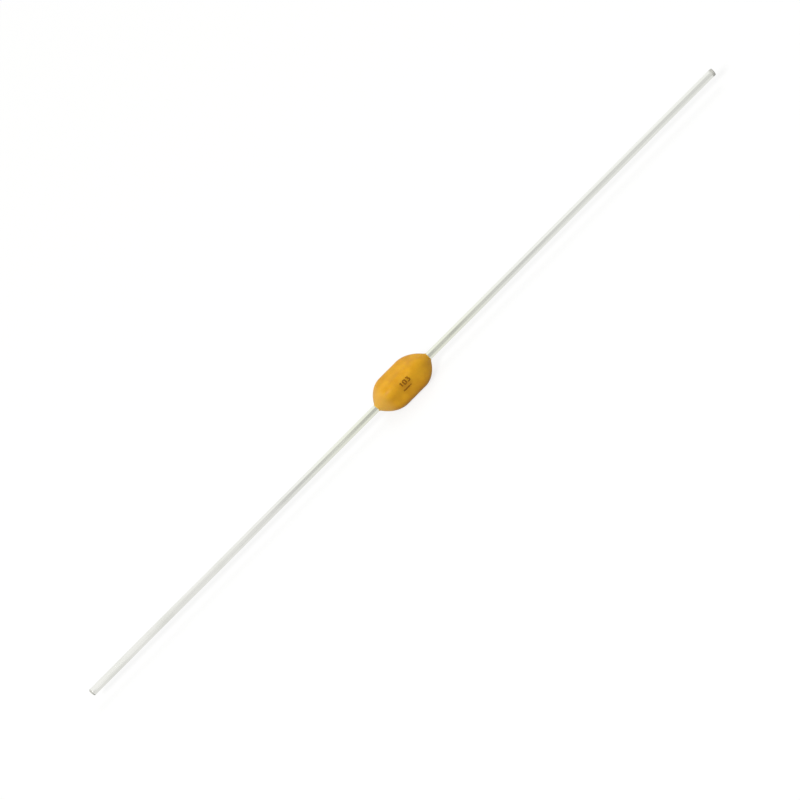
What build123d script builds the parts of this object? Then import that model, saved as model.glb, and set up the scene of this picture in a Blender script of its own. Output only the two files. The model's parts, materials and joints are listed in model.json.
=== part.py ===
from build123d import *

import os
from math import cos, radians, sin, tau

# Axial-leaded multilayer ceramic capacitor, 10 nF class, conformally coated.
#
# A co-fired ceramic chip holds two sets of interleaved metal electrodes. Each set ends at one
# end face of the chip, under a fired metal cap. A tinned wire with an upset nail head is
# soldered to each cap, and a dipped epoxy coating covers the chip, the joints and the first
# stretch of both wires.
#
# Frame: millimetres. The origin is the middle of the chip, on the axis of the two leads.
# +X runs along the right lead and +Z is up through the electrode stack. The part lies on the
# flat underside of its coating.

# ---------------------------------------------------------------- driving dimensions

# Ceramic chip, after tumbling
chip_length = 2.0
chip_width = 1.25
chip_edge_radius = 0.06

# Layers of the chip. Its height is what they add up to.
electrode_pairs = 10
electrode_thickness = 0.003
dielectric_gap = 0.037  # ceramic between two neighbouring electrodes
cover_layer = 0.22  # bare ceramic above the top electrode and below the lowest
electrode_side_margin = 0.2  # bare ceramic along each long side
electrode_end_margin = 0.25  # bare ceramic before the cap of the other polarity

# Fired metal cap on each end of the chip
cap_end_thickness = 0.05
cap_band_thickness = 0.03
cap_band_length = 0.35  # along the sides of the chip
cap_edge_radius = 0.08

# Solder joint between cap and nail head
solder_gap = 0.05
solder_foot_margin = 0.02  # flat of the cap left bare round the foot of the joint
solder_climb = 0.12  # distance that the solder wets along the rim of the head
solder_contact_angle = 12  # degrees, between the solder's surface and that rim

# Lead wire, upset at its inner end
lead_diameter = 0.51
lead_length = 26.4  # from the soldered face of the head to the cut tip
head_diameter = 0.9
head_thickness = 0.15
neck_diameter = 0.68  # of the wire right behind the head, where the heading die swells it
neck_length = 0.75  # over which it tapers down to the plain wire
tip_chamfer = 0.05

# Dipped epoxy coating
coating_cover = 0.375  # over the bands of the caps, at the four flats
coating_crown = 0.012  # how far the rounded section would stand proud of those flats
coating_squareness = 4.0  # superellipse exponent of the section over the chip; 2 is an ellipse
nose_reach = 0.99  # from the back of a head to where the nose comes down to the wire
shoulder_inset_left = 0.21  # from the end of the chip back to where the nose starts
shoulder_inset_right = 0.31  # the end that hung lower while the epoxy set is more slender
wire_film = 0.02  # thickness of the epoxy where it runs out along the wire
run_out_length = 0.2
meniscus_radius = 0.15

# Sampling of the lofted noses
nose_stations = 7  # sections along each nose
meniscus_stations = 3  # sections round the meniscus at the wire
section_points = 24  # points of the spline in each section

# ---------------------------------------------------------------- derived places

electrode_count = 2 * electrode_pairs
electrode_pitch = dielectric_gap + electrode_thickness
stack_height = electrode_pitch * (electrode_count - 1) + electrode_thickness
chip_height = stack_height + 2 * cover_layer

chip_end = chip_length / 2
cap_face = chip_end + cap_end_thickness
head_front = cap_face + solder_gap
head_back = head_front + head_thickness
neck_end = head_back + neck_length
lead_tip = head_front + lead_length

head_radius = head_diameter / 2
neck_radius = neck_diameter / 2
lead_radius = lead_diameter / 2

flat_half_width = chip_width / 2 + cap_band_thickness + coating_cover
flat_half_height = chip_height / 2 + cap_band_thickness + coating_cover
coating_half_width = flat_half_width + coating_crown
coating_half_height = flat_half_height + coating_crown
film_radius = lead_radius + wire_film
nose_end = head_back + nose_reach
coating_end = nose_end + run_out_length

os.makedirs("parts", exist_ok=True)


def keep(part, name):
    """Labels a finished piece and writes its STEP file."""
    part.label = name
    export_step(part, f"parts/{name}.step")


# ---------------------------------------------------------------- electrodes

# The plates are stacked along Z, the lowest first. Every second one reaches the left cap and
# the others the right cap, so that neighbours overlap over the active middle of the chip.
electrode_length = chip_length - electrode_end_margin
electrode_width = chip_width - 2 * electrode_side_margin
lowest_electrode = (electrode_thickness - stack_height) / 2

electrodes = []
for index in range(electrode_count):
    side, direction = ("left", -1) if index % 2 == 0 else ("right", 1)
    centre_x = direction * electrode_end_margin / 2
    centre_z = lowest_electrode + electrode_pitch * index
    with BuildPart() as electrode:
        with Locations((centre_x, 0, centre_z)):
            Box(electrode_length, electrode_width, electrode_thickness)
    keep(electrode.part, f"electrode_{side}_{index // 2 + 1:02d}")
    electrodes.append(electrode.part)

# ---------------------------------------------------------------- ceramic chip

# The whole tumbled block, which the caps close over
with BuildPart() as chip_block:
    Box(chip_length, chip_width, chip_height)
    fillet(chip_block.edges(), chip_edge_radius)

# The fired ceramic is that block with a thin pocket for each electrode, open at one end face
with BuildPart() as ceramic_dielectric:
    add(chip_block.part)
    add(electrodes, mode=Mode.SUBTRACT)
keep(ceramic_dielectric.part, "ceramic_dielectric")

# ---------------------------------------------------------------- end caps

# A cap is a five-sided cup over the end of the chip: a thick end face and thin bands
cap_length = cap_band_length + cap_end_thickness
cap_width = chip_width + 2 * cap_band_thickness
cap_height = chip_height + 2 * cap_band_thickness

with BuildPart() as cap_right:
    with Locations((cap_face - cap_length / 2, 0, 0)):
        Box(cap_length, cap_width, cap_height)
    open_rim = cap_right.faces().sort_by(Axis.X)[0].edges()
    fillet(cap_right.edges() - open_rim, cap_edge_radius)
    add(chip_block.part, mode=Mode.SUBTRACT)
keep(cap_right.part, "end_cap_right")

with BuildPart() as cap_left:
    mirror(cap_right.part, about=Plane.YZ)
keep(cap_left.part, "end_cap_left")

# ---------------------------------------------------------------- solder joints

# The solder is a thin disc under the head, with a hollow fillet that wets up the head's rim
solder_foot_radius = min(cap_width, cap_height) / 2 - cap_edge_radius - solder_foot_margin
contact = radians(solder_contact_angle)

with BuildPart() as solder_right:
    with BuildSketch(Plane.XZ):
        with BuildLine():
            under_head = Line((head_front, 0), (head_front, head_radius))
            rim = Line(under_head @ 1, (head_front + solder_climb, head_radius))
            slope = TangentArc(rim @ 1, (cap_face, solder_foot_radius), tangent=(-cos(contact), sin(contact)))
            foot = Line(slope @ 1, (cap_face, 0))
            Line(foot @ 1, under_head @ 0)
        make_face()
    revolve(axis=Axis.X)
keep(solder_right.part, "solder_joint_right")

with BuildPart() as solder_left:
    mirror(solder_right.part, about=Plane.YZ)
keep(solder_left.part, "solder_joint_left")

# ---------------------------------------------------------------- leads

# A turned form: the nail head, the neck that tapers behind it, the wire and its sheared tip
with BuildPart() as lead_right:
    with BuildSketch(Plane.XZ):
        with BuildLine():
            Polyline(
                (head_front, 0),
                (head_front, head_radius),
                (head_back, head_radius),
                (head_back, neck_radius),
                (neck_end, lead_radius),
                (lead_tip - tip_chamfer, lead_radius),
                (lead_tip, lead_radius - tip_chamfer),
                (lead_tip, 0),
                close=True,
            )
        make_face()
    revolve(axis=Axis.X)
keep(lead_right.part, "lead_right")

with BuildPart() as lead_left:
    mirror(lead_right.part, about=Plane.YZ)
keep(lead_left.part, "lead_left")

# ---------------------------------------------------------------- epoxy coating


def outline(half_width):
    """Points of the coating's section, in Y and Z, where it is half_width wide.

    The section is a superellipse: a square with round corners over the chip, and a circle by
    the time it is down to the film on the wire. Its height falls in step with its width.
    """
    fullness = (half_width - film_radius) / (coating_half_width - film_radius)
    half_height = film_radius + (coating_half_height - film_radius) * fullness
    exponent = 2 + (coating_squareness - 2) * fullness
    points = []
    for step in range(section_points):
        y = cos(tau * step / section_points)
        z = sin(tau * step / section_points)
        reach = (abs(y / half_width) ** exponent + abs(z / half_height) ** exponent) ** (-1 / exponent)
        points.append((reach * y, reach * z))
    return points


def nose(shoulder, side):
    """One end of the coating, from its shoulder out along the wire. side is 1 or -1.

    Its flank is an arc that leaves the shoulder along the body and ends at the wire, where a
    small meniscus turns it into the thin film that runs out along the wire.
    """
    with BuildLine() as profile:
        ogive = TangentArc((shoulder, coating_half_width), (nose_end, film_radius), tangent=(1, 0))
        Line(ogive @ 1, (coating_end, film_radius))
        fillet(profile.vertices().sort_by(Axis.X)[1], meniscus_radius)
    flank, meniscus, film = profile.edges().sort_by(Axis.X)
    stations = [flank @ (step / nose_stations) for step in range(nose_stations)]
    stations += [meniscus @ (step / meniscus_stations) for step in range(meniscus_stations)]
    stations += [film @ 0, film @ 1]
    with BuildPart() as lofted:
        for station in stations:
            with BuildSketch(Plane.YZ.offset(side * station.X)):
                with BuildLine():
                    Spline(*outline(station.Y), periodic=True)
                make_face()
        loft()
    return lofted.part


shoulder_left = chip_end - shoulder_inset_left
shoulder_right = chip_end - shoulder_inset_right
nose_left = nose(shoulder_left, -1)
nose_right = nose(shoulder_right, 1)
buried = [chip_block, cap_left, cap_right, solder_left, solder_right, lead_left, lead_right]

with BuildPart() as epoxy_coating:
    with BuildSketch(Plane.YZ.offset(-shoulder_left)):
        with BuildLine():
            Spline(*outline(coating_half_width), periodic=True)
        make_face()
    extrude(amount=shoulder_left + shoulder_right)
    add([nose_left, nose_right])
    # The faces of the chip show through as four shallow flats, and the part lies on the lowest
    Box(2 * coating_end, 2 * flat_half_width, 2 * flat_half_height, mode=Mode.INTERSECT)
    # The liquid epoxy closed round everything that was dipped in it
    add([piece.part for piece in buried], mode=Mode.SUBTRACT)
keep(epoxy_coating.part, "epoxy_coating")
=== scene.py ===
"""Looks of an axial-leaded multilayer ceramic capacitor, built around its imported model.

The dipped epoxy coating, its printed value and the two tinned leads are modelled here as fine
surfaces. The sealed parts of the chip stay as they are packed and get finishes of their own.
Sizes inside the classes are in millimetres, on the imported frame: the origin is the middle of
the chip, +X runs along the right lead and +Z is up.
"""

import json
import logging
import math
from dataclasses import dataclass
from enum import Enum

import bpy
import numpy as np
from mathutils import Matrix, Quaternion, Vector


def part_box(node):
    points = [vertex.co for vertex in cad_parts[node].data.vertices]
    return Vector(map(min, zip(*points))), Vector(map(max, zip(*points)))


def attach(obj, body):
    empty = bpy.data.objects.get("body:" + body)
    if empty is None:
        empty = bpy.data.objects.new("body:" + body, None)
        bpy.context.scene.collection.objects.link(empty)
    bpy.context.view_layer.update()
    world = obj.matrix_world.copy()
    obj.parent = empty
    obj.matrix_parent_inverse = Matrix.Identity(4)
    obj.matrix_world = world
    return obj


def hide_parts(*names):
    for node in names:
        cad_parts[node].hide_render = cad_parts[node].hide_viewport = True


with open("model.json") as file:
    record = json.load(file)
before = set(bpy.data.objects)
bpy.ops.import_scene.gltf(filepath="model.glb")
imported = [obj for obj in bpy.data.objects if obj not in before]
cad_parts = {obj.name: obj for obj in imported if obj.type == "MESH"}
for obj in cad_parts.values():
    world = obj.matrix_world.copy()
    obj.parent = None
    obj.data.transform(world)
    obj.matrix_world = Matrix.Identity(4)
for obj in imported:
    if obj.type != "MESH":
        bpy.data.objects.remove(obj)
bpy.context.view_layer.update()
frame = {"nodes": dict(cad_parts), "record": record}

log = logging.getLogger("capacitor")

MM = 0.001
BODY = "root"

Tree = bpy.types.NodeTree
Socket = bpy.types.NodeSocket

CORNER_POINTS = 9  # points along each rounded corner of a path
LEAST_STEPS = 8  # fewest steps that a path is divided into
WAVE_RANGE = 3  # longest wavelength of a random field over its shortest
CIRCLE = 2.0  # exponent at which a superellipse is a circle or an ellipse
MIX_FACTOR, MIX_LOW, MIX_HIGH, MIX_COLOUR = 0, 6, 7, 2  # colour sockets of a Mix node


class Side(Enum):
    """End of the capacitor, with the sign of X there."""

    LEFT = -1
    RIGHT = 1


# ---------------------------------------------------------------- surfaces


@dataclass(frozen=True)
class Surface:
    """A closed surface made of rings of points that follow one another along a path.

    Attributes:
        rings: Points in millimetres, as (ring, point of the ring, xyz).
        looped: True where the last ring joins the first. Otherwise a pole closes each end.
    """

    rings: np.ndarray
    looped: bool = False

    def points(self) -> np.ndarray:
        """Returns all vertices: the rings' points, then the two poles if there are any."""
        flat = self.rings.reshape(-1, 3)
        return flat if self.looped else np.vstack([flat, self.rings[[0, -1]].mean(axis=1)])

    def faces(self) -> tuple[np.ndarray, np.ndarray]:
        """Joins each point to its neighbour on the ring and to those two on the next ring.

        Returns:
            The quads between the rings, and the triangles round the poles.
        """
        count, around = self.rings.shape[:2]
        ring = np.arange(count if self.looped else count - 1)[:, None]
        point = np.arange(around)[None, :]
        following, beside = (ring + 1) % count, (point + 1) % around
        corners = [ring * around + point, ring * around + beside]
        corners += [following * around + beside, following * around + point]
        quads = np.stack(corners, axis=-1).reshape(-1, 4)
        if self.looped:
            return quads, np.zeros((0, 3), int)
        here = np.arange(around)
        there = (here + 1) % around
        pole = np.full(around, count * around)
        last = (count - 1) * around
        start = np.stack([pole, there, here], axis=-1)
        end = np.stack([pole + 1, last + here, last + there], axis=-1)
        return quads, np.vstack([start, end])

    def volume(self) -> float:
        """Sums the signed tetrahedra that the faces make with the origin.

        Returns:
            The volume in cubic millimetres, below 0 where the faces point inwards.
        """
        points = self.points()
        quads, triangles = self.faces()
        halves = np.vstack([quads[:, [0, 1, 2]], quads[:, [0, 2, 3]], triangles])
        a, b, c = (points[halves[:, corner]] for corner in range(3))
        return float(np.einsum("ij,ij->i", a, np.cross(b, c)).sum() / 6)

    def outward(self) -> "Surface":
        """Returns the surface with its rings reversed if its faces point inwards."""
        return self if self.volume() > 0 else Surface(self.rings[::-1], self.looped)


def soft_min(a: np.ndarray, b: np.ndarray, blend: float) -> np.ndarray:
    """Lesser of two values with a rounded change-over: (a + b - sqrt((a - b)^2 + blend^2)) / 2."""
    return (a + b - np.sqrt((a - b) ** 2 + blend**2)) / 2


def smooth_step(value: np.ndarray, start: float, end: float) -> np.ndarray:
    """Rises from 0 at start to 1 at end along 3t^2 - 2t^3."""
    t = np.clip((value - start) / (end - start), 0, 1)
    return t * t * (3 - 2 * t)


def ripple(seed: int, waves: int, longest: float, *coordinates: np.ndarray) -> np.ndarray:
    """Smooth random field from -1 to 1: a sum of sine waves of random direction and phase.

    Args:
        seed: Seed of the draws.
        waves: Number of waves.
        longest: Longest wavelength, in the coordinates' unit. The shortest is a third of it.
        coordinates: One array for each axis of the field.

    Returns:
        The field's value at each place.
    """
    draws = np.random.default_rng(seed)
    total = np.zeros(np.broadcast(*coordinates).shape)
    for _ in range(waves):
        direction = draws.normal(size=len(coordinates))
        direction /= np.linalg.norm(direction)
        wavelength = longest / draws.uniform(1, WAVE_RANGE)
        phase = draws.uniform(0, math.tau)
        along = sum(part * axis for part, axis in zip(direction, coordinates))
        total = total + np.sin(math.tau * along / wavelength + phase)
    return np.clip(total / math.sqrt(2 * waves), -1, 1)


def rounded_path(corners: list[tuple[float, float, float]], closed: bool = False) -> np.ndarray:
    """Path of straight runs with rounded corners.

    A corner is replaced by the curve (1 - t)^2 before + 2t(1 - t) corner + t^2 after, which
    starts and ends at the given reach from it.

    Args:
        corners: The corners as (x, y, reach).
        closed: True where the last corner joins the first.

    Returns:
        Points of the path as (n, 2).
    """
    places = np.array([corner[:2] for corner in corners])
    t = np.linspace(0, 1, CORNER_POINTS)[:, None]
    pieces: list[np.ndarray] = []
    for index, (_, _, reach) in enumerate(corners):
        here = places[index]
        if reach == 0 or not (closed or 0 < index < len(corners) - 1):
            pieces.append(here[None, :])
            continue
        before = places[index - 1] - here
        after = places[(index + 1) % len(corners)] - here
        start = here + before * reach / np.linalg.norm(before)
        end = here + after * reach / np.linalg.norm(after)
        pieces.append((1 - t) ** 2 * start + 2 * t * (1 - t) * here + t**2 * end)
    return np.vstack(pieces)


def restation(path: np.ndarray, spacing: float, keep: bool, closed: bool = False) -> np.ndarray:
    """Puts points at equal distances along a path, by linear interpolation on its run.

    Args:
        path: Points of the path as (n, 2).
        spacing: Greatest distance between neighbours.
        keep: True to keep the path's own points among the new ones.
        closed: True where the last point joins the first. The join isn't repeated.

    Returns:
        The new points as (m, 2).
    """
    whole = np.vstack([path, path[:1]]) if closed else path
    run = np.concatenate([[0], np.cumsum(np.linalg.norm(np.diff(whole, axis=0), axis=1))])
    steps = max(math.ceil(run[-1] / spacing), LEAST_STEPS)
    places = np.linspace(0, run[-1], steps + 1)
    if keep:
        places = np.union1d(places, run)
    if closed:
        places = places[:-1]
    return np.stack([np.interp(places, run, whole[:, axis]) for axis in range(2)], axis=-1)


# ---------------------------------------------------------------- materials


def linear(colour: str) -> tuple[float, float, float, float]:
    """Turns an sRGB colour to linear light, by the curve that the sRGB standard gives.

    Args:
        colour: Hex value such as #D9A032.

    Returns:
        Red, green, blue and an alpha of 1.
    """
    channels = [int(colour[place : place + 2], 16) / 255 for place in (1, 3, 5)]
    red, green, blue = (
        channel / 12.92 if channel <= 0.04045 else ((channel + 0.055) / 1.055) ** 2.4
        for channel in channels
    )
    return red, green, blue, 1.0


def add_node(tree: Tree, kind: str, inputs: dict | None = None, **settings) -> bpy.types.Node:
    """Adds a node with its settings and links.

    Args:
        tree: Node tree of the material or world.
        kind: Type of the node, such as ShaderNodeMath.
        inputs: For each input, by name or number, an output to link or a value to set.
        settings: Properties of the node.

    Returns:
        The node.
    """
    node = tree.nodes.new(kind)
    for name, value in settings.items():
        setattr(node, name, value)
    for name, value in (inputs or {}).items():
        if isinstance(value, Socket):
            tree.links.new(value, node.inputs[name])
        else:
            node.inputs[name].default_value = value
    return node


@dataclass(frozen=True)
class Finish:
    """A surface finish: what the material is, how its surface was made and how it looks."""

    name: str

    def material(self) -> bpy.types.Material:
        """Makes the finish's material on first use.

        Returns:
            The material, the same one each time.
        """
        known = bpy.data.materials.get(self.name)
        if known:
            return known
        material = bpy.data.materials.new(self.name)
        material.use_nodes = True
        tree = material.node_tree
        tree.nodes.clear()
        shader = add_node(tree, "ShaderNodeBsdfPrincipled")
        add_node(tree, "ShaderNodeOutputMaterial", {"Surface": shader.outputs["BSDF"]})
        place = add_node(tree, "ShaderNodeTexCoord").outputs["Object"]
        self.dress(tree, shader, place)
        return material

    def dress(self, tree: Tree, shader: bpy.types.Node, place: Socket) -> None:
        """Lays out the nodes that feed the shader.

        Args:
            tree: Node tree of the material.
            shader: Its Principled shader.
            place: Object coordinates.
        """
        raise NotImplementedError

    def noise(self, tree: Tree, place: Socket, size: float, detail: float = 2) -> Socket:
        """Returns cloudy noise from 0 to 1, with features of that size in millimetres."""
        inputs = {"Vector": place, "Scale": 1 / (size * MM), "Detail": detail}
        return add_node(tree, "ShaderNodeTexNoise", inputs).outputs[0]

    def spread(self, tree: Tree, value: Socket, given: tuple, wanted: tuple) -> Socket:
        """Maps one range of a value smoothly to another, and holds it at the ends.

        Args:
            tree: Node tree of the material.
            value: The value.
            given: Its two ends.
            wanted: What it becomes at them.

        Returns:
            The mapped value.
        """
        ends = {"From Min": given[0], "From Max": given[1], "To Min": wanted[0], "To Max": wanted[1]}
        inputs = {"Value": value, **ends}
        mapped = add_node(tree, "ShaderNodeMapRange", inputs, interpolation_type="SMOOTHSTEP")
        return mapped.outputs["Result"]

    def blend(self, tree: Tree, factor: Socket, low: str | Socket, high: str | Socket) -> Socket:
        """Mixes two colours.

        Args:
            tree: Node tree of the material.
            factor: Share of the second colour, from 0 to 1.
            low: Colour at 0, as a hex value or an output.
            high: Colour at 1, likewise.

        Returns:
            The mixed colour.
        """
        low, high = (linear(end) if isinstance(end, str) else end for end in (low, high))
        inputs = {MIX_FACTOR: factor, MIX_LOW: low, MIX_HIGH: high}
        return add_node(tree, "ShaderNodeMix", inputs, data_type="RGBA").outputs[MIX_COLOUR]

    def tint(self, tree: Tree, colour: Socket, shade: Socket) -> Socket:
        """Multiplies a colour by a shade."""
        inputs = {0: colour, "Scale": shade}
        return add_node(tree, "ShaderNodeVectorMath", inputs, operation="SCALE").outputs[0]

    def bump(self, tree: Tree, height: Socket, depth: float, before: Socket | None = None) -> Socket:
        """Turns the normal as a relief of the surface would.

        Args:
            tree: Node tree of the material.
            height: Height of the relief, from 0 to 1.
            depth: What a height of 1 stands for, in millimetres.
            before: Normal that another bump has turned already.

        Returns:
            The turned normal.
        """
        inputs = {"Height": height, "Distance": depth * MM, "Strength": 1.0}
        if before:
            inputs["Normal"] = before
        return add_node(tree, "ShaderNodeBump", inputs).outputs["Normal"]

    def distance_along(self, tree: Tree, place: Socket) -> Socket:
        """Returns the distance from the middle of the chip, along the leads, in metres."""
        along = add_node(tree, "ShaderNodeSeparateXYZ", {"Vector": place}).outputs["X"]
        return add_node(tree, "ShaderNodeMath", {0: along}, operation="ABSOLUTE").outputs[0]


@dataclass(frozen=True)
class DippedEpoxy(Finish):
    """Ochre epoxy, dipped and cured without a mould.

    The fluid resin pulled its own skin smooth, so the eye gets a semi-gloss surface with a
    faint orange peel, slow clouds where the pigment settled and a fine grain of filler. It is
    browner underneath, which is painted shade where the bead turns down, away from the light.
    It is paler and sandier on the left nose, and palest where it thins out on the wire. Round
    the marking it is a little browner, from ink that the printing pad smeared.
    """

    name: str = "dipped_epoxy"
    rich: str = "#D2940C"
    pale: str = "#E3A718"
    thin: str = "#D8B868"
    smear: str = "#B87A08"
    # Painted shade: browner towards the bottom of the bead, where it turns away from the light.
    painted_underside_shade: str = "#A86C0A"
    # Paler, sandier tone towards the left nose.
    left_nose_tone: str = "#D9AB55"
    cloud: float = 0.9
    peel: float = 0.3
    grain: float = 0.03
    thin_from: float = 2.23
    thin_to: float = 2.3
    underside_shade_height: tuple[float, float] = (-0.25, -0.95)
    underside_shade_share: float = 0.65
    left_nose_length: tuple[float, float] = (-1.15, -1.8)
    left_nose_share: float = 0.45
    smear_middle: tuple[float, float, float] = (0.1, -1.0, 0.36)
    smear_reach: float = 0.55
    smear_core: float = 0.3
    smear_share: float = 0.65
    cloud_range: tuple[float, float] = (0.3, 0.7)
    grain_range: tuple[float, float] = (0.25, 0.75)
    grain_shade: tuple[float, float] = (0.94, 1.04)
    grain_depth: float = 0.0005
    peel_depth: float = 0.005
    roughness: tuple[float, float] = (0.4, 0.5)
    refraction: float = 1.55
    specular: float = 0.22
    scatter: float = 0.12
    scatter_reach: tuple[float, float, float] = (1.0, 0.5, 0.15)
    scatter_scale: float = 0.2

    def dress(self, tree: Tree, shader: bpy.types.Node, place: Socket) -> None:
        """Mixes settled pigment, filler grain, smeared ink and thin film, and peels the surface.

        Args:
            tree: Node tree of the material.
            shader: Its Principled shader.
            place: Object coordinates.
        """
        clouds = self.spread(tree, self.noise(tree, place, self.cloud), self.cloud_range, (0, 1))
        grain = self.noise(tree, place, self.grain, 1)
        tone = self.blend(tree, clouds, self.rich, self.pale)
        tone = self.tint(tree, tone, self.spread(tree, grain, self.grain_range, self.grain_shade))
        middle = tuple(part * MM for part in self.smear_middle)
        apart = add_node(tree, "ShaderNodeVectorMath", {0: place, 1: middle}, operation="DISTANCE")
        ends = (self.smear_core * self.smear_reach * MM, self.smear_reach * MM)
        smear = self.spread(tree, apart.outputs["Value"], ends, (self.smear_share, 0))
        tone = self.blend(tree, smear, tone, self.smear)
        axes = add_node(tree, "ShaderNodeSeparateXYZ", {"Vector": place}).outputs
        for axis, ends, share, end_tone in (
            # Painted shade, browner towards the bottom of the bead.
            ("Z", self.underside_shade_height, self.underside_shade_share, self.painted_underside_shade),
            # Paler and sandier towards the left nose.
            ("X", self.left_nose_length, self.left_nose_share, self.left_nose_tone),
        ):
            reach = self.spread(tree, axes[axis], tuple(end * MM for end in ends), (0, share))
            tone = self.blend(tree, reach, tone, end_tone)
        film = (self.thin_from * MM, self.thin_to * MM)
        thinness = self.spread(tree, self.distance_along(tree, place), film, (0, 1))
        tree.links.new(self.blend(tree, thinness, tone, self.thin), shader.inputs["Base Color"])
        rough = self.spread(tree, clouds, (0, 1), self.roughness)
        tree.links.new(rough, shader.inputs["Roughness"])
        peeled = self.bump(tree, self.noise(tree, place, self.peel, 1), self.peel_depth)
        grained = self.bump(tree, grain, self.grain_depth, peeled)
        tree.links.new(grained, shader.inputs["Normal"])
        shader.inputs["IOR"].default_value = self.refraction
        shader.inputs["Specular IOR Level"].default_value = self.specular
        shader.inputs["Subsurface Weight"].default_value = self.scatter
        shader.inputs["Subsurface Radius"].default_value = self.scatter_reach
        shader.inputs["Subsurface Scale"].default_value = self.scatter_scale * MM


@dataclass(frozen=True)
class TinnedWire(Finish):
    """Copper-clad steel wire, drawn and plated with bright tin.

    The die leaves hairlines along the wire, so the eye gets a pale, bright metal with streaks.
    Towards the free end of the left lead, where fingers and the tape of the reel held it, the
    tin is duller, in patches. The cure left a trace of yellow beside the coating. Both tips are
    matt at the rim; the right one is darker and matt further back. The shears left the steel core
    and its copper skin bare.
    """

    name: str = "tinned_wire"
    tip: float = 27.5
    radius: float = 0.255
    bright: str = "#F4F5EF"
    cured: str = "#F1F3E4"
    dull: str = "#F2F2ED"
    worn: str = "#E7E8E1"
    sheared: str = "#BCBCB5"
    # Darker tone towards the right tip.
    right_tip_tone: str = "#B9B9B2"
    copper: str = "#9C7F68"
    steel: str = "#8A8882"
    cured_from: float = 2.4
    cured_until: float = 11.0
    dull_from: tuple[float, float] = (7.0, 12.0)
    rim: tuple[float, float] = (0.14, 0.12)
    right_tip_span: tuple[float, float] = (0.34, 0.16)
    matt_rough: float = 0.55
    patch: float = 2.2
    streak: tuple[float, float] = (6.0, 0.035)
    patch_range: tuple[float, float] = (0.42, 0.72)
    patch_share: float = 0.6
    streak_range: tuple[float, float] = (0.3, 0.7)
    streak_shade: tuple[float, float] = (0.93, 1.03)
    streak_detail: float = 3.0
    streak_depth: float = 0.0008
    core_edge: tuple[float, float] = (0.7, 0.74)
    skin_edge: tuple[float, float] = (0.82, 0.88)
    bare: tuple[float, float] = (0.09, 0.06)
    roughness: tuple[float, float] = (0.08, 0.13)
    matt_metallic: float = 0.1

    def dress(self, tree: Tree, shader: bpy.types.Node, place: Socket) -> None:
        """Streaks and dulls the tin, and bares the core at the sheared tip.

        Args:
            tree: Node tree of the material.
            shader: Its Principled shader.
            place: Object coordinates.
        """
        long, fine = (1 / (size * MM) for size in self.streak)
        inputs = {"Vector": place, "Scale": (long, fine, fine)}
        stretched = add_node(tree, "ShaderNodeMapping", inputs).outputs[0]
        inputs = {"Vector": stretched, "Scale": 1.0, "Detail": self.streak_detail}
        streaks = add_node(tree, "ShaderNodeTexNoise", inputs).outputs[0]
        clouds = self.noise(tree, place, self.patch)
        patches = self.spread(tree, clouds, self.patch_range, (0, self.patch_share))
        along = self.distance_along(tree, place)
        near = self.spread(tree, along, (self.cured_from * MM, self.cured_until * MM), (1, 0))
        length = add_node(tree, "ShaderNodeSeparateXYZ", {"Vector": place}).outputs["X"]
        held = self.spread(tree, length, tuple(-end * MM for end in self.dull_from), (0, 1))
        tin = self.blend(tree, near, self.bright, self.cured)
        tin = self.blend(tree, held, tin, self.blend(tree, patches, self.dull, self.worn))
        tin = self.tint(tree, tin, self.spread(tree, streaks, self.streak_range, self.streak_shade))
        rolled = self.spread(tree, along, self.behind_tip(self.rim), (0, 1))
        # Darker and matt towards the right tip.
        right_tip_share = self.spread(tree, length, self.behind_tip(self.right_tip_span), (0, 1))
        tin = self.blend(tree, right_tip_share, self.blend(tree, rolled, tin, self.sheared), self.right_tip_tone)
        matt = add_node(tree, "ShaderNodeMath", {0: rolled, 1: right_tip_share}, operation="MAXIMUM").outputs[0]
        inputs = {0: place, 1: (0.0, 1.0, 1.0)}
        across = add_node(tree, "ShaderNodeVectorMath", inputs, operation="MULTIPLY").outputs[0]
        depth = add_node(tree, "ShaderNodeVectorMath", {0: across}, operation="LENGTH").outputs["Value"]
        core = self.spread(tree, depth, self.within_wire(self.core_edge), (0, 1))
        skin = self.spread(tree, depth, self.within_wire(self.skin_edge), (1, 0))
        at_tip = self.spread(tree, along, self.behind_tip(self.bare), (0, 1))
        bare = add_node(tree, "ShaderNodeMath", {0: skin, 1: at_tip}, operation="MULTIPLY").outputs[0]
        cut = self.blend(tree, core, self.steel, self.copper)
        tree.links.new(self.blend(tree, bare, tin, cut), shader.inputs["Base Color"])
        rough = self.spread(tree, patches, (0, self.patch_share), self.roughness)
        inputs = {0: matt, 1: self.matt_rough, 2: rough}
        rough = add_node(tree, "ShaderNodeMath", inputs, operation="MULTIPLY_ADD").outputs[0]
        tree.links.new(rough, shader.inputs["Roughness"])
        tree.links.new(self.bump(tree, streaks, self.streak_depth), shader.inputs["Normal"])
        metallic = self.spread(tree, matt, (0, 1), (1, self.matt_metallic))
        tree.links.new(metallic, shader.inputs["Metallic"])

    def behind_tip(self, backs: tuple[float, float]) -> tuple[float, ...]:
        """Turns distances back from the tip to places along the lead, in metres."""
        return tuple((self.tip - back) * MM for back in backs)

    def within_wire(self, shares: tuple[float, float]) -> tuple[float, ...]:
        """Turns shares of the wire's radius to distances from its axis, in metres."""
        return tuple(share * self.radius * MM for share in shares)


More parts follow.
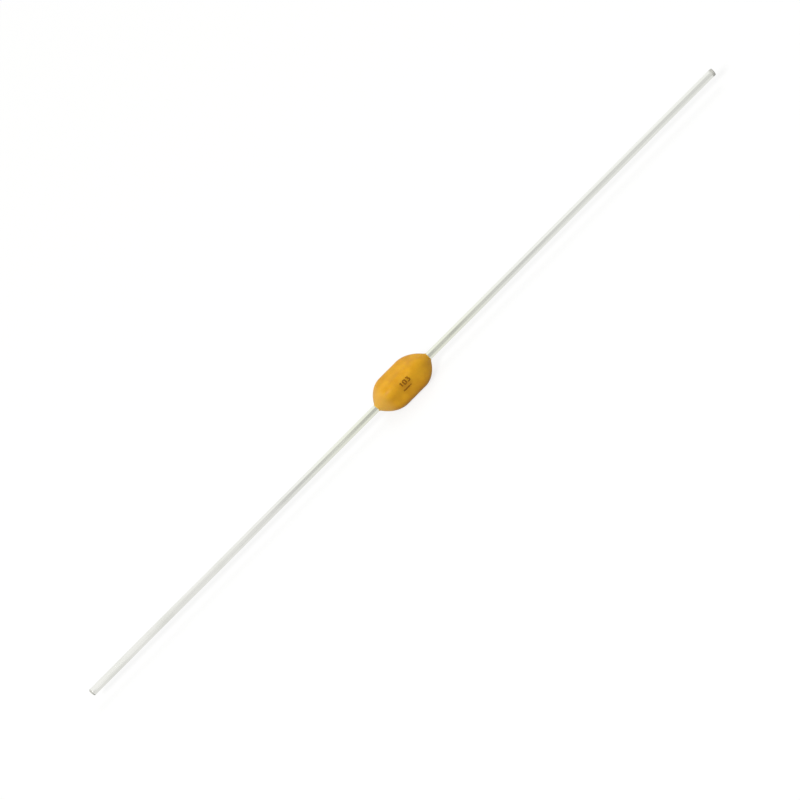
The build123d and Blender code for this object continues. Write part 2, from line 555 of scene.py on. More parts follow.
@dataclass(frozen=True)
class PrintedInk(Finish):
    """Brown marking ink, rolled on from a rubber pad.

    It dries matt and thin, so the eye gets dark strokes that the coating shows through where
    the pad lifted them or handling wore them.
    """

    name: str = "marking_ink"
    solid: str = "#804A00"
    worn: str = "#AC7408"
    wear: float = 0.07
    wear_range: tuple[float, float] = (0.45, 0.66)
    depth: float = 0.001
    roughness: float = 0.5
    specular: float = 0.15

    def dress(self, tree: Tree, shader: bpy.types.Node, place: Socket) -> None:
        """Wears the ink through in small patches.

        Args:
            tree: Node tree of the material.
            shader: Its Principled shader.
            place: Object coordinates.
        """
        lifted = self.spread(tree, self.noise(tree, place, self.wear, 3), self.wear_range, (0, 1))
        tree.links.new(self.blend(tree, lifted, self.solid, self.worn), shader.inputs["Base Color"])
        tree.links.new(self.bump(tree, lifted, self.depth), shader.inputs["Normal"])
        shader.inputs["Roughness"].default_value = self.roughness
        shader.inputs["Specular IOR Level"].default_value = self.specular


@dataclass(frozen=True)
class GrainyFinish(Finish):
    """Common layout of the sealed parts' finishes: two tones in grains, with a bump."""

    light: str = "#C0C0C0"
    dark: str = "#909090"
    grain: float = 0.02
    depth: float = 0.001
    roughness: tuple[float, float] = (0.4, 0.5)
    metallic: float = 0.0
    grain_range: tuple[float, float] = (0.35, 0.65)

    def dress(self, tree: Tree, shader: bpy.types.Node, place: Socket) -> None:
        """Mottles colour and roughness with the same grains and raises them.

        Args:
            tree: Node tree of the material.
            shader: Its Principled shader.
            place: Object coordinates.
        """
        grains = self.noise(tree, place, self.grain, 3)
        tone = self.spread(tree, grains, self.grain_range, (0, 1))
        tree.links.new(self.blend(tree, tone, self.dark, self.light), shader.inputs["Base Color"])
        rough = self.spread(tree, grains, self.grain_range, self.roughness)
        tree.links.new(rough, shader.inputs["Roughness"])
        tree.links.new(self.bump(tree, grains, self.depth), shader.inputs["Normal"])
        shader.inputs["Metallic"].default_value = self.metallic


# Barium titanate, pressed, fired and tumbled: satin, tan-grey, with grains too small to see.
SINTERED_TITANATE = GrainyFinish("sintered_titanate", "#AE9C82", "#8F7F69", 0.012, 0.0004, (0.42, 0.55))
# Nickel film, screened as a paste and fired inside the ceramic: matt, dark grey, slightly patchy.
FIRED_NICKEL = GrainyFinish("fired_nickel", "#A39F97", "#7E7B75", 0.03, 0.0003, (0.45, 0.6), 1.0)
# Silver paste, dipped and fired on the chip's ends: matt and pale, rough from its glass frit.
FIRED_SILVER = GrainyFinish("fired_silver", "#D6D4CE", "#ADABA5", 0.025, 0.001, (0.4, 0.55), 1.0)
# Lead-rich solder, reflowed round the nail head: satin, with frosty crystals from slow cooling.
REFLOWED_SOLDER = GrainyFinish("reflowed_solder", "#C9CACB", "#9C9D9E", 0.05, 0.0008, (0.25, 0.4), 1.0)


# ---------------------------------------------------------------- pieces


def half_box(node: str) -> np.ndarray:
    """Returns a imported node's highest corner in millimetres."""
    return np.array(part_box(node)[1]) / MM


def build_piece(name: str, surfaces: list[Surface], finish: Finish) -> bpy.types.Object:
    """Makes one smooth shaded mesh object of closed surfaces, at the origin, on the body.

    Args:
        name: Name of the object and its mesh.
        surfaces: Surfaces in millimetres.
        finish: Finish of the whole piece.

    Returns:
        The object.
    """
    points: list[np.ndarray] = []
    faces: list[list[int]] = []
    offset = 0
    for surface in (each.outward() for each in surfaces):
        points.append(surface.points())
        quads, triangles = surface.faces()
        faces += (quads + offset).tolist() + (triangles + offset).tolist()
        offset += len(points[-1])
    mesh = bpy.data.meshes.new(name)
    mesh.from_pydata((np.vstack(points) * MM).tolist(), [], faces)
    mesh.polygons.foreach_set("use_smooth", np.ones(len(faces), bool))
    mesh.materials.append(finish.material())
    mesh.update()
    piece = bpy.data.objects.new(name, mesh)
    bpy.context.scene.collection.objects.link(piece)
    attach(piece, BODY)
    log.info("%s: %d points, %d faces", name, offset, len(faces))
    return piece


@dataclass(frozen=True)
class NailHeadLead:
    """A lead: a nail head, the swollen neck behind it, a long straight wire and a sheared tip."""

    side: Side
    head_front: float
    tip: float
    head_radius: float
    wire_radius: float
    head_thickness: float = 0.15
    neck_radius: float = 0.34
    neck_length: float = 0.75
    neck_blend: float = 0.12
    edge: float = 0.03
    rollover: float = 0.07
    lean_length: float = 0.14
    shear_slope: float = 0.06
    pinch: float = 0.07
    pinch_length: float = 0.35
    bow: float = 0.008
    bow_length: float = 28.0
    bow_from: tuple[float, float] = (1.0, 5.0)
    bow_waves: int = 4
    bow_seeds: tuple[int, int] = (40, 50)
    around: int = 48
    spacing: float = 0.2

    @property
    def head_back(self) -> float:
        """Back of the nail head."""
        return self.head_front + self.head_thickness

    @property
    def neck_end(self) -> float:
        """Where the neck has tapered to the plain wire."""
        return self.head_back + self.neck_length

    def profile(self) -> np.ndarray:
        """Lays out the turned profile, from the middle of the head to the middle of the tip.

        Returns:
            Its points as (x, radius).
        """
        corners = [
            (self.head_front, self.edge, 0),
            (self.head_front, self.head_radius, self.edge),
            (self.head_back, self.head_radius, self.edge),
            (self.head_back, self.neck_radius, self.edge),
            (self.neck_end, self.wire_radius, self.neck_blend),
            (self.tip, self.wire_radius, self.rollover),
            (self.tip, self.edge, 0),
        ]
        return restation(rounded_path(corners), self.spacing, keep=True)

    def rings(self) -> np.ndarray:
        """Turns the profile round X, then shears the tip and bows the wire.

        A point is (x, r cos a, r sin a). Near the tip its height is squeezed and its width
        swells, and the cut face leans: x falls with its depth below the top of the wire. The
        wire's line wanders by less than a hundredth, in a few long waves.

        Returns:
            Points as (ring, point of the ring, xyz).
        """
        x, radius = self.profile()[:, :1], self.profile()[:, 1:]
        angle = np.linspace(0, math.tau, self.around, endpoint=False)[None, :]
        nip = smooth_step(x, self.tip - self.pinch_length, self.tip)
        y = radius * np.cos(angle) * (1 + self.pinch * nip)
        z = radius * np.sin(angle) * (1 - self.pinch * nip)
        lean = smooth_step(x, self.tip - self.lean_length, self.tip)
        x = x - lean * self.shear_slope * (1 - z / self.wire_radius) / 2
        start, full = (self.neck_end + run for run in self.bow_from)
        free = self.bow * smooth_step(x, start, full)
        aside, up = (seed + self.side.value for seed in self.bow_seeds)
        y = y + free * ripple(aside, self.bow_waves, self.bow_length, x)
        z = z + free * ripple(up, self.bow_waves, self.bow_length, x)
        return np.stack([self.side.value * x, y, z], axis=-1)

    def build(self, finish: Finish) -> bpy.types.Object:
        """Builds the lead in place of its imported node.

        Args:
            finish: Finish of the wire.

        Returns:
            The lead's object.
        """
        side = self.side.name.lower()
        piece = build_piece(f"tinned_lead_{side}", [Surface(self.rings())], finish)
        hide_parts(f"lead_{side}")
        return piece


@dataclass(frozen=True)
class CoatingSkin:
    """The dipped coating: a bead with rounded square section, two noses and a film on each wire.

    Its outer wall is a surface of x and the angle round the leads' axis, which starts at +Y and
    turns towards +Z. Its inner wall closes round the chip, the joints and the wires.
    """

    lead: NailHeadLead
    film_end: float
    flat_half_width: float
    flat_half_height: float
    ink_room: float = 0.005
    crown: float = 0.012
    squareness: float = 4.0
    film: float = 0.012
    film_root: float = 0.002
    nose_end: float = 2.24
    film_left_clear: float = 0.13
    shoulder: tuple[float, float] = (0.79, 0.69)
    shoulder_swing: tuple[float, float] = (0.094, -0.146)
    swing_angle: float = 56.0
    meniscus: float = 0.04
    flat_blend: float = 0.01
    ragged: float = 0.06
    ragged_length: float = 3.0
    ragged_waves: int = 5
    ragged_seed: int = 20
    dimple: float = 0.008
    dimple_length: float = 2.4
    dimple_waves: int = 14
    dimple_seed: int = 5
    least_share: float = 0.05
    wall_overlap: float = 0.001
    joint_room: float = 0.02
    cap_corner: float = 0.08
    corner_ease: float = 0.3
    corner_exponents: tuple[float, ...] = (12.0, 16.0, 19.0)
    chip_exponent: float = 24.0
    close_rings_from: tuple[float, float] = (0.1, 0.3)
    around: int = 192
    nose_rings: int = 84
    body_rings: int = 40
    film_rings: int = 14

    @property
    def full_width(self) -> float:
        """Half-width over the chip before the flats."""
        return self.flat_half_width + self.crown

    @property
    def full_height(self) -> float:
        """Half-height over the chip before the flats."""
        return self.flat_half_height + self.crown

    @property
    def film_radius(self) -> float:
        """Radius of the film on the wire."""
        return self.lead.wire_radius + self.film

    def film_edge(self, angle: np.ndarray, side: int) -> np.ndarray:
        """Ends the pigment raggedly round the wire.

        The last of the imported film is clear, and the wire's own finish stands for it.

        Args:
            angle: Angle round the wire.
            side: Sign of X at that end.

        Returns:
            Distance of the pigment's end from the middle of the chip.
        """
        places = (np.cos(angle), np.sin(angle))
        wander = ripple(self.ragged_seed + side, self.ragged_waves, self.ragged_length, *places)
        return self.film_end - self.film_left_clear - self.ragged * (1 + wander) / 2

    def half_width(self, x: np.ndarray, angle: np.ndarray) -> np.ndarray:
        """Half-width of the section before its flats.

        It is constant over the chip. A nose follows an arc of a circle that is tangent to the
        body at the shoulder s and comes down to the film at the wire:
        w = W - R + sqrt(R^2 - (x - s)^2). A soft maximum with the film makes the meniscus. The
        shoulder lies further out on one side of the bead, because the epoxy sagged as it set.

        Args:
            x: Place along the leads.
            angle: Angle round them.

        Returns:
            The half-width there.
        """
        left = x < 0
        swing = np.cos(angle - math.radians(self.swing_angle))
        shoulder = np.where(left, self.shoulder[0], self.shoulder[1])
        shoulder = shoulder + np.where(left, self.shoulder_swing[0], self.shoulder_swing[1]) * swing
        drop = self.full_width - self.film_radius
        arc = ((self.nose_end - shoulder) ** 2 + drop**2) / (2 * drop)
        past = np.maximum(np.abs(x) - shoulder, 0)
        flank = self.full_width - arc + np.sqrt(np.maximum(arc**2 - past**2, 0))
        return -soft_min(-flank, -self.film_radius + 0 * flank, self.meniscus)

    def reach(self, x: np.ndarray, angle: np.ndarray) -> np.ndarray:
        """Distance of the skin from the leads' axis.

        The section is a superellipse, r = (|cos a / w|^n + |sin a / h|^n)^(-1/n). Its height h
        falls in step with its half-width w, and n falls with them from a rounded square to a
        circle. Soft minima cut the four flats. Slow dimples pull the skin in a little, and the
        film thins to nothing at its ragged end.

        Args:
            x: Place along the leads.
            angle: Angle round them.

        Returns:
            The distance there.
        """
        width = self.half_width(x, angle)
        fullness = (width - self.film_radius) / (self.full_width - self.film_radius)
        height = self.film_radius + (self.full_height - self.film_radius) * fullness
        exponent = CIRCLE + (self.squareness - CIRCLE) * np.clip(fullness, 0, 1)
        across, up = np.abs(np.cos(angle)), np.abs(np.sin(angle))
        radius = ((across / width) ** exponent + (up / height) ** exponent) ** (-1 / exponent)
        flats = (self.flat_half_width - self.ink_room, self.flat_half_height)
        for flat, share in zip(flats, (across, up)):
            radius = soft_min(radius, flat / np.maximum(share, self.least_share), self.flat_blend)
        places = (x, radius * np.cos(angle), radius * np.sin(angle))
        dimples = ripple(self.dimple_seed, self.dimple_waves, self.dimple_length, *places)
        radius = radius - self.dimple * fullness * (1 + dimples) / 2
        edge = np.where(x < 0, self.film_edge(angle, -1), self.film_edge(angle, 1))
        run = np.clip((np.abs(x) - self.nose_end) / (edge - self.nose_end), 0, 1)
        wire = self.lead.wire_radius - self.film_root
        return wire + (radius - wire) * np.sqrt(1 - run**4)

    def point(self, x: np.ndarray, angle: np.ndarray, lift: np.ndarray | float = 0.0) -> np.ndarray:
        """Places points on the skin, or lifted off it along their radius.

        Args:
            x: Places along the leads.
            angle: Angles round them.
            lift: Distances off the skin.

        Returns:
            The points as (..., xyz).
        """
        x, angle = np.broadcast_arrays(x, angle)
        radius = self.reach(x, angle) + lift
        return np.stack([x, radius * np.cos(angle), radius * np.sin(angle)], axis=-1)

    def outer_rings(self) -> np.ndarray:
        """Lays rings from the left end of the film to the right one, close together at the wires.

        Returns:
            Points as (ring, point of the ring, xyz).
        """
        angle = np.linspace(0, math.tau, self.around, endpoint=False)[None, :]
        ease = np.sin(np.linspace(0, math.pi / 2, self.nose_rings + 1))[1:]
        step = np.linspace(0, 1, self.film_rings + 1)[1:, None]
        inner = [place - back for place, back in zip(self.shoulder, self.close_rings_from)]
        left = -inner[0] - (self.nose_end - inner[0]) * ease[::-1]
        middle = np.linspace(-inner[0], inner[1], self.body_rings)
        right = inner[1] + (self.nose_end - inner[1]) * ease
        stem = np.concatenate([left, middle, right])[:, None]
        ends = []
        for side in (-1, 1):
            run = self.film_edge(angle, side) - self.nose_end
            ends.append(side * (self.nose_end + np.sin(step * math.pi / 2) * run))
        x = np.vstack([ends[0][::-1], np.repeat(stem, self.around, axis=1), ends[1]])
        return self.point(x, np.repeat(angle, len(x), axis=0))

    def cavity_rings(self) -> np.ndarray:
        """Rings of the inner wall, from the right film back to the left one.

        Each is a superellipse with its own half-sizes and exponent: 2 round the turned leads
        and solder, and high for the chip and its caps, whose corners are only slightly round.

        Returns:
            Points as (ring, point of the ring, xyz).
        """
        chip, cap = half_box("ceramic_dielectric"), half_box("end_cap_right")
        solder, band = half_box("solder_joint_right"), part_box("end_cap_right")[0].x / MM
        lead, rim, foot = self.lead, solder[0], solder[1]
        wire, corner = lead.wire_radius - self.wall_overlap, self.cap_corner
        joint, eased = lead.head_radius + self.joint_room, self.corner_ease * corner
        sharp, sharper, sharpest = self.corner_exponents
        sections = [
            (self.nose_end, wire, wire, CIRCLE),
            (lead.neck_end, wire, wire, CIRCLE),
            (lead.head_back, lead.neck_radius, lead.neck_radius, CIRCLE),
            (lead.head_back, lead.head_radius, lead.head_radius, CIRCLE),
            (rim, lead.head_radius, lead.head_radius, CIRCLE),
            ((rim + cap[0]) / 2, joint, joint, CIRCLE),
            (cap[0], foot, foot, CIRCLE),
            (cap[0], cap[1] - corner, cap[2] - corner, sharp),
            (cap[0] - eased, cap[1] - eased, cap[2] - eased, sharper),
            (cap[0] - corner, cap[1], cap[2], sharpest),
            (band, cap[1], cap[2], sharpest),
            (band, chip[1], chip[2], self.chip_exponent),
        ]
        right = np.array(sections)
        table = np.vstack([right, right[::-1] * (-1, 1, 1, 1)])[:, :, None]
        x, width, height, exponent = (table[:, column] for column in range(4))
        angle = np.linspace(0, math.tau, self.around, endpoint=False)[None, :]
        across, up = np.abs(np.cos(angle)), np.abs(np.sin(angle))
        radius = ((across / width) ** exponent + (up / height) ** exponent) ** (-1 / exponent)
        return np.stack([x + 0 * radius, radius * np.cos(angle), radius * np.sin(angle)], axis=-1)

    def build(self, finish: Finish) -> bpy.types.Object:
        """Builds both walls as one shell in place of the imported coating.

        Args:
            finish: Finish of the epoxy.

        Returns:
            The coating's object.
        """
        shell = Surface(np.concatenate([self.outer_rings(), self.cavity_rings()]), looped=True)
        piece = build_piece("coating_skin", [shell], finish)
        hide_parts("epoxy_coating")
        return piece


@dataclass(frozen=True)
class PrintedValue:
    """The value, 103, and a bar below it, rolled on the front of the coating in thin ink.

    103 is the plain code of any 10 nF capacitor: 10, and three noughts, in picofarads.
    """

    skin: CoatingSkin
    centre: float = 0.12
    row: float = 0.43
    digit_height: float = 0.33
    digit_pitch: float = 0.27
    stroke: float = 0.095
    bar_row: float = 0.13
    bar_length: float = 0.66
    bar_lead: float = 0.68
    bar_swell: float = 0.4
    wander: float = 0.16
    wander_length: float = 0.3
    wander_waves: int = 6
    first_seed: int = 60
    end_inset: float = 0.2
    thickness: float = 0.004
    sunk: float = 0.01
    section_points: int = 12
    spacing: float = 0.012

    def strokes(self) -> list[tuple[np.ndarray, bool, float]]:
        """Draws the middle lines of the strokes in millimetres, as x and height on the face.

        A digit's corners are (x, height, reach of the rounding) for a digit of height 1.

        Returns:
            Each line as (n, 2), whether it is closed, and its swell: the share by which it is
            wider at its start and narrower at its end.
        """
        one = [(0.1, 0.76, 0), (0.34, 1.0, 0.1), (0.34, 0.0, 0)]
        nought = [(0.06, 0.0, 0.24), (0.58, 0.0, 0.24), (0.58, 1.0, 0.24), (0.06, 1.0, 0.24)]
        three = [(0.07, 1.0, 0), (0.54, 1.0, 0.12), (0.28, 0.57, 0.1)]
        three += [(0.6, 0.57, 0.22), (0.6, 0.0, 0.26), (0.05, 0.02, 0)]
        digits = [(one, False), (nought, True), (three, False)]
        start = self.centre - len(digits) / 2 * self.digit_pitch
        lines = []
        for index, (corners, closed) in enumerate(digits):
            place = np.array([start + index * self.digit_pitch, self.row])
            path = rounded_path(corners, closed) * self.digit_height + place
            lines.append((restation(path, self.spacing, keep=False, closed=closed), closed, 0.0))
        bar_start = (self.centre - self.bar_lead * self.bar_length, self.bar_row)
        bar = np.array([(0, 0), (self.bar_length, 0)]) + bar_start
        lines.append((restation(bar, self.spacing, keep=False), False, self.bar_swell))
        return lines

    def ribbon(self, line: np.ndarray, closed: bool, swell: float, seed: int) -> Surface:
        """Carries a lens-shaped section along a stroke and lays it on the skin.

        The section's point at angle c is off the line by half its width times cos c, and off
        the skin by the ink's thickness times sin c above it or by the sunk depth below. The
        width wanders as ink does, and falls to the root of 1 - t^2 in a round end.

        Args:
            line: Middle line of the stroke as (n, 2).
            closed: True where its last point joins the first.
            swell: Share by which it is wider at its start and narrower at its end.
            seed: Seed of its wandering width.

        Returns:
            The stroke's surface.
        """
        if closed:
            ahead = np.roll(line, -1, axis=0) - np.roll(line, 1, axis=0)
        else:
            ahead = np.gradient(line, axis=0)
        ahead = ahead / np.linalg.norm(ahead, axis=1, keepdims=True)
        normal = np.stack([-ahead[:, 1], ahead[:, 0]], axis=-1)
        wander = ripple(seed, self.wander_waves, self.wander_length, line[:, 0], line[:, 1])
        half = self.stroke / 2 * (1 + self.wander * wander)
        half = half * np.linspace(1 + swell, 1 - swell, len(line))
        if not closed:
            run = np.arange(len(line)) * self.spacing
            near_end = np.minimum(run, run[::-1]) + self.end_inset * self.spacing
            half = half * np.sqrt(1 - np.clip(1 - near_end / (self.stroke / 2), 0, 1) ** 2)
        turn = np.linspace(0, math.tau, self.section_points, endpoint=False)[None, :]
        flat = line[:, None, :] + normal[:, None, :] * (half[:, None] * np.cos(turn))[:, :, None]
        lift = np.where(np.sin(turn) > 0, self.thickness, self.sunk) * np.sin(turn)
        angle = np.arctan2(flat[:, :, 1], -self.skin.flat_half_width)
        return Surface(self.skin.point(flat[:, :, 0], angle, lift), looped=closed)

    def build(self, finish: Finish) -> bpy.types.Object:
        """Builds all strokes as one piece.

        Args:
            finish: Finish of the ink.

        Returns:
            The print's object.
        """
        seeded = enumerate(self.strokes(), self.first_seed)
        ribbons = [self.ribbon(*stroke, seed) for seed, stroke in seeded]
        return build_piece("printed_value", ribbons, finish)


@dataclass(frozen=True)
class SealedChip:
    """The parts sealed in the coating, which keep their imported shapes."""

    finishes: dict[str, Finish]

    def dress(self) -> None:
        """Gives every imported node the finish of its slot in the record."""
        for part in frame["record"]["subparts"]:
            node = frame["nodes"][part["node"]]
            finish = self.finishes[part["material_slot"]]
            if node.material_slots:
                node.material_slots[0].material = finish.material()
            else:
                node.data.materials.append(finish.material())
            log.info("%s: %s", node.name, finish.name)


# ---------------------------------------------------------------- studio


@dataclass(frozen=True)
class SoftBox:
    """A square lamp that looks at the capacitor.

    Its strength is the light that it adds to a face turned to it.
    """

    name: str
    azimuth: float
    elevation: float
    strength: float
    glossy: bool = True
    distance: float = 0.4
    size: float = 0.25

    def light(self) -> None:
        """Hangs the lamp. Its watts are strength times pi squared times distance squared."""
        data = bpy.data.lights.new(self.name, "AREA")
        data.size = self.size
        data.energy = self.strength * (math.pi * self.distance) ** 2
        lamp = bpy.data.objects.new(self.name, data)
        out = direction(self.azimuth, self.elevation)
        lamp.location = out * self.distance
        lamp.rotation_mode = "QUATERNION"
        lamp.rotation_quaternion = out.to_track_quat("Z", "Y")
        lamp.visible_camera = False
        lamp.visible_glossy = self.glossy
        bpy.context.scene.collection.objects.link(lamp)


def direction(azimuth: float, elevation: float) -> Vector:
    """Turns an azimuth and an elevation in degrees to a direction.

    Args:
        azimuth: Angle round Z, 0 in front of the part and rising towards +X.
        elevation: Angle above the level.

    Returns:
        The unit vector from the capacitor to there.
    """
    turn, rise = math.radians(azimuth), math.radians(elevation)
    level = math.cos(rise)
    return Vector((math.sin(turn) * level, -math.cos(turn) * level, math.sin(rise)))


@dataclass(frozen=True)
class Studio:
    """White floor and surroundings, soft lamps, and a long lens above the front of the part."""

    floor_height: float
    azimuth: float = 0.0
    elevation: float = 34.0
    roll: float = -45.0
    lens: float = 200.0
    sensor: float = 36.0
    frame_width: float = 50.0
    aim: tuple[float, float] = (0.159, 1.116)
    ambient: float = 0.48
    gap_ahead: tuple[float, float] = (0.5, 0.9)
    floor_size: float = 1.2
    paper: str = "#FAFAF8"
    bounce: str = "#B6B6B4"
    floor_lift: float = 0.8
    floor_gloss: float = 0.7
    gap_start: tuple[float, float] = (1.9, 8.0)
    gap_half: float = 0.16
    gap_profile: tuple[tuple[float, float], ...] = (
        (-0.13, 0.0), (-0.08, 0.05), (-0.05, 0.2), (-0.03, 0.2), (-0.008, 0.5), (0.008, 0.57),
        (0.03, 0.33), (0.05, 0.26), (0.075, 0.29), (0.12, 0.29), (0.16, 0.0),
    )
    clear_from: float = 0.05
    clear_to: float = 0.14
    clip: tuple[float, float] = (0.01, 10.0)
    lamps: tuple[SoftBox, ...] = (
        SoftBox("key_softbox", -40.0, 46.0, 0.58, size=0.13),
        SoftBox("back_softbox", 140.0, 55.0, 0.3, glossy=False),
    )

    @property
    def lens_distance(self) -> float:
        """Distance of the camera, at which frame_width fills its frame."""
        return self.lens * self.frame_width / self.sensor

    def shoot(self) -> None:
        """Sets up floor, surroundings, lamps and camera."""
        self.lay_floor()
        self.surround()
        for lamp in self.lamps:
            lamp.light()
        self.place_camera()
        bpy.context.scene.view_settings.view_transform = "Standard"

    def seen(self, tree: Tree) -> tuple[Socket, Socket]:
        """Tells the rays apart.

        Args:
            tree: Node tree of the material or world.

        Returns:
            1 for rays that show the surroundings directly or through glass, and 1 for those
            that show them in gloss.
        """
        path = add_node(tree, "ShaderNodeLightPath").outputs
        inputs = {0: path["Is Camera Ray"], 1: path["Is Transmission Ray"]}
        direct = add_node(tree, "ShaderNodeMath", inputs, operation="MAXIMUM").outputs[0]
        return direct, path["Is Glossy Ray"]

    def gap(self, tree: Tree, across: Socket) -> Socket:
        """Darkens the gap in the white surroundings.

        Args:
            tree: Node tree of the material or world.
            across: Sideways part of a direction from the part, 0 straight ahead.

        Returns:
            How dark it is there, from 0 to 1.
        """
        ends = {"From Min": -self.gap_half, "From Max": self.gap_half}
        inputs = {"Value": across, **ends}
        along_ramp = add_node(tree, "ShaderNodeMapRange", inputs).outputs["Result"]
        ramp = add_node(tree, "ShaderNodeValToRGB", {"Fac": along_ramp})
        ramp.color_ramp.interpolation = "EASE"
        stops = ramp.color_ramp.elements
        shares = [(aside / self.gap_half + 1) / 2 for aside, _ in self.gap_profile]
        for share in shares[1:-1]:
            stops.new(share)
        for stop, share, (_, dark) in zip(stops, shares, self.gap_profile):
            stop.position = share
            stop.color = (dark, dark, dark, 1.0)
        return ramp.outputs["Color"]

    def lay_floor(self) -> None:
        """Lays matt white paper under the part."""
        half = self.floor_size / 2
        corners = [(-half, -half), (half, -half), (half, half), (-half, half)]
        mesh = bpy.data.meshes.new("paper_floor")
        mesh.from_pydata([(x, y, self.floor_height * MM) for x, y in corners], [], [(0, 1, 2, 3)])
        mesh.materials.append(self.white_paper())
        floor = bpy.data.objects.new("paper_floor", mesh)
        bpy.context.scene.collection.objects.link(floor)

    def white_paper(self) -> bpy.types.Material:
        """Makes the paper of the floor.

        Near the part it keeps its shadow, lifted towards white. Further away it is plain white,
        as its surroundings are. It bounces less light than it shows, so that the underside of
        the part falls into shade. In gloss, the gap that the lens looks through goes on as a
        shade on the paper in front of the part.

        Returns:
            The material.
        """
        material = bpy.data.materials.new("white_paper")
        material.use_nodes = True
        tree = material.node_tree
        tree.nodes.clear()
        seen, gloss = self.seen(tree)
        inputs = {MIX_FACTOR: seen, MIX_LOW: linear(self.bounce), MIX_HIGH: linear(self.paper)}
        tone = add_node(tree, "ShaderNodeMix", inputs, data_type="RGBA").outputs[MIX_COLOUR]
        paper = add_node(tree, "ShaderNodeBsdfDiffuse", {"Color": tone}).outputs[0]
        white = add_node(tree, "ShaderNodeEmission", {"Strength": 1.0}).outputs[0]
        place = add_node(tree, "ShaderNodeTexCoord").outputs["Object"]
        away = add_node(tree, "ShaderNodeVectorMath", {0: place}, operation="LENGTH").outputs["Value"]
        inputs = {"Value": away, "From Min": self.clear_from, "From Max": self.clear_to}
        inputs |= {"To Min": self.floor_lift, "To Max": 1.0}
        lift = add_node(tree, "ShaderNodeMapRange", inputs, interpolation_type="SMOOTHSTEP")
        inputs = {0: lift.outputs["Result"], 1: seen}
        lifted = add_node(tree, "ShaderNodeMath", inputs, operation="MULTIPLY").outputs[0]
        axes = add_node(tree, "ShaderNodeSeparateXYZ", {"Vector": place}).outputs
        inputs = {0: axes["X"], 1: self.lens_distance * MM}
        beside = add_node(tree, "ShaderNodeMath", inputs, operation="DIVIDE").outputs[0]
        start, full = self.gap_start
        inputs = {"Value": axes["Y"], "From Min": -start * MM, "From Max": -full * MM}
        in_front = add_node(tree, "ShaderNodeMapRange", inputs).outputs["Result"]
        inputs = {0: self.gap(tree, beside), 1: in_front}
        shade = add_node(tree, "ShaderNodeMath", inputs, operation="MULTIPLY").outputs[0]
        inputs = {0: self.floor_gloss, 1: shade}
        shown = add_node(tree, "ShaderNodeMath", inputs, operation="SUBTRACT").outputs[0]
        inputs = {0: gloss, 1: shown, 2: lifted}
        share = add_node(tree, "ShaderNodeMath", inputs, operation="MULTIPLY_ADD").outputs[0]
        mixed = add_node(tree, "ShaderNodeMixShader", {0: share, 1: paper, 2: white}).outputs[0]
        add_node(tree, "ShaderNodeOutputMaterial", {"Surface": mixed})
        return material

    def surround(self) -> None:
        """Surrounds the part with plain white that lights it more softly than it shows.

        The white has one upright gap, through which the lens looks in. Only gloss shows the
        gap, as the dark line that gives a polished wire its roundness.
        """
        world = bpy.data.worlds.new("white_room")
        bpy.context.scene.world = world
        world.use_nodes = True
        tree = world.node_tree
        tree.nodes.clear()
        seen, gloss = self.seen(tree)
        shown = add_node(tree, "ShaderNodeMath", {0: seen, 1: gloss}, operation="MAXIMUM").outputs[0]
        inputs = {"Value": shown, "To Min": self.ambient, "To Max": 1.0}
        plain = add_node(tree, "ShaderNodeMapRange", inputs).outputs["Result"]
        way = add_node(tree, "ShaderNodeTexCoord").outputs["Generated"]
        beside = add_node(tree, "ShaderNodeSeparateXYZ", {"Vector": way}).outputs["X"]
        dark = self.gap(tree, beside)
        inputs = {0: way, 1: direction(self.azimuth, self.elevation)}
        ahead = add_node(tree, "ShaderNodeVectorMath", inputs, operation="DOT_PRODUCT").outputs["Value"]
        start, full = self.gap_ahead
        inputs = {"Value": ahead, "From Min": start, "From Max": full}
        facing = add_node(tree, "ShaderNodeMapRange", inputs, interpolation_type="SMOOTHSTEP")
        inputs = {0: dark, 1: facing.outputs["Result"]}
        shade = add_node(tree, "ShaderNodeMath", inputs, operation="MULTIPLY").outputs[0]
        shade = add_node(tree, "ShaderNodeMath", {0: shade, 1: gloss}, operation="MULTIPLY").outputs[0]
        inputs = {0: plain, 1: shade}
        strength = add_node(tree, "ShaderNodeMath", inputs, operation="SUBTRACT").outputs[0]
        inputs = {"Color": (1.0, 1.0, 1.0, 1.0), "Strength": strength}
        white = add_node(tree, "ShaderNodeBackground", inputs).outputs[0]
        add_node(tree, "ShaderNodeOutputWorld", {"Surface": white})

    def place_camera(self) -> None:
        """Puts the camera where the frame's width spans frame_width at the part, turned by roll.

        It is then moved sideways in its own plane, so that the part lies a little off the
        middle of the frame.
        """
        data = bpy.data.cameras.new("camera")
        data.lens, data.sensor_width = self.lens, self.sensor
        camera = bpy.data.objects.new("camera", data)
        out = direction(self.azimuth, self.elevation)
        level = (-out).to_track_quat("-Z", "Y")
        turned = level @ Quaternion((0, 0, 1), math.radians(self.roll))
        right, up = turned @ Vector((1, 0, 0)), turned @ Vector((0, 1, 0))
        place = out * self.lens_distance - right * self.aim[0] - up * self.aim[1]
        camera.location = place * MM
        camera.rotation_mode = "QUATERNION"
        camera.rotation_quaternion = turned
        data.clip_start, data.clip_end = self.clip
        bpy.context.scene.collection.objects.link(camera)
        bpy.context.scene.camera = camera


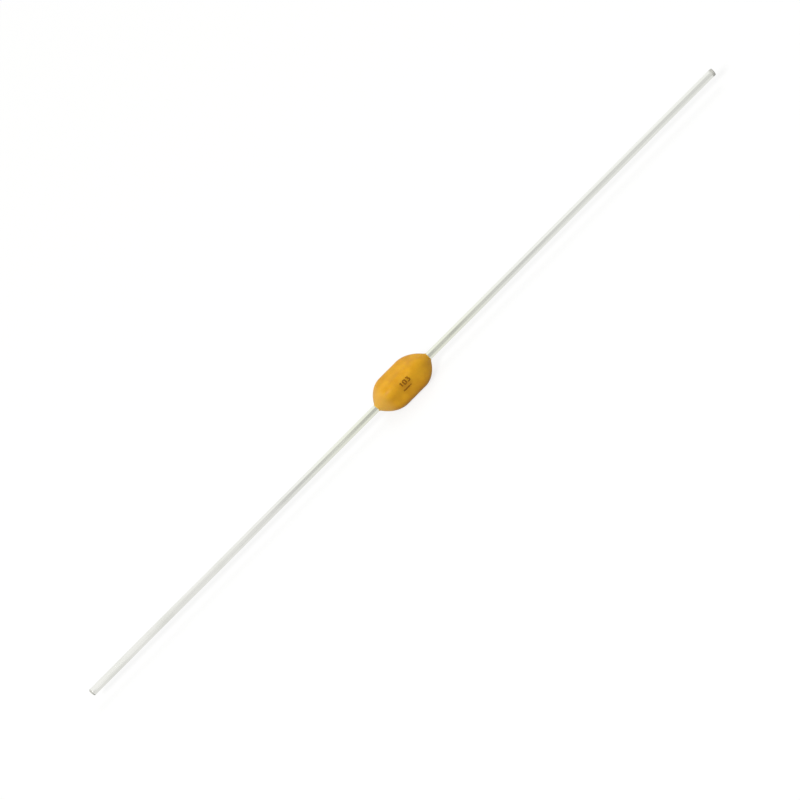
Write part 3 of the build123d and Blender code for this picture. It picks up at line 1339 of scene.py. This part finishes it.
def main() -> None:
    """Builds the pieces in order, dresses the sealed parts and sets up the studio."""
    coat, lead_box = half_box("epoxy_coating"), half_box("lead_right")
    wire_radius = frame["record"]["mounts"][0]["dims"]["r_mm"]
    head_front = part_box("lead_right")[0].x / MM
    epoxy = DippedEpoxy()
    wire = TinnedWire(tip=float(lead_box[0]), radius=wire_radius)
    tip, head_radius = lead_box[:2]
    leads = {side: NailHeadLead(side, head_front, tip, head_radius, wire_radius) for side in Side}
    for lead in leads.values():
        lead.build(wire)
    skin = CoatingSkin(leads[Side.RIGHT], coat[0], coat[1], coat[2])
    skin.build(epoxy)
    PrintedValue(skin).build(PrintedInk())
    SealedChip(
        {
            "coating": epoxy,
            "lead": wire,
            "solder": REFLOWED_SOLDER,
            "termination": FIRED_SILVER,
            "dielectric": SINTERED_TITANATE,
            "electrode": FIRED_NICKEL,
        }
    ).dress()
    Studio(floor_height=float(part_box("epoxy_coating")[0].z / MM)).shoot()


if __name__ == "__main__":
    logging.basicConfig(level=logging.INFO, format="%(name)s: %(message)s")
    main()
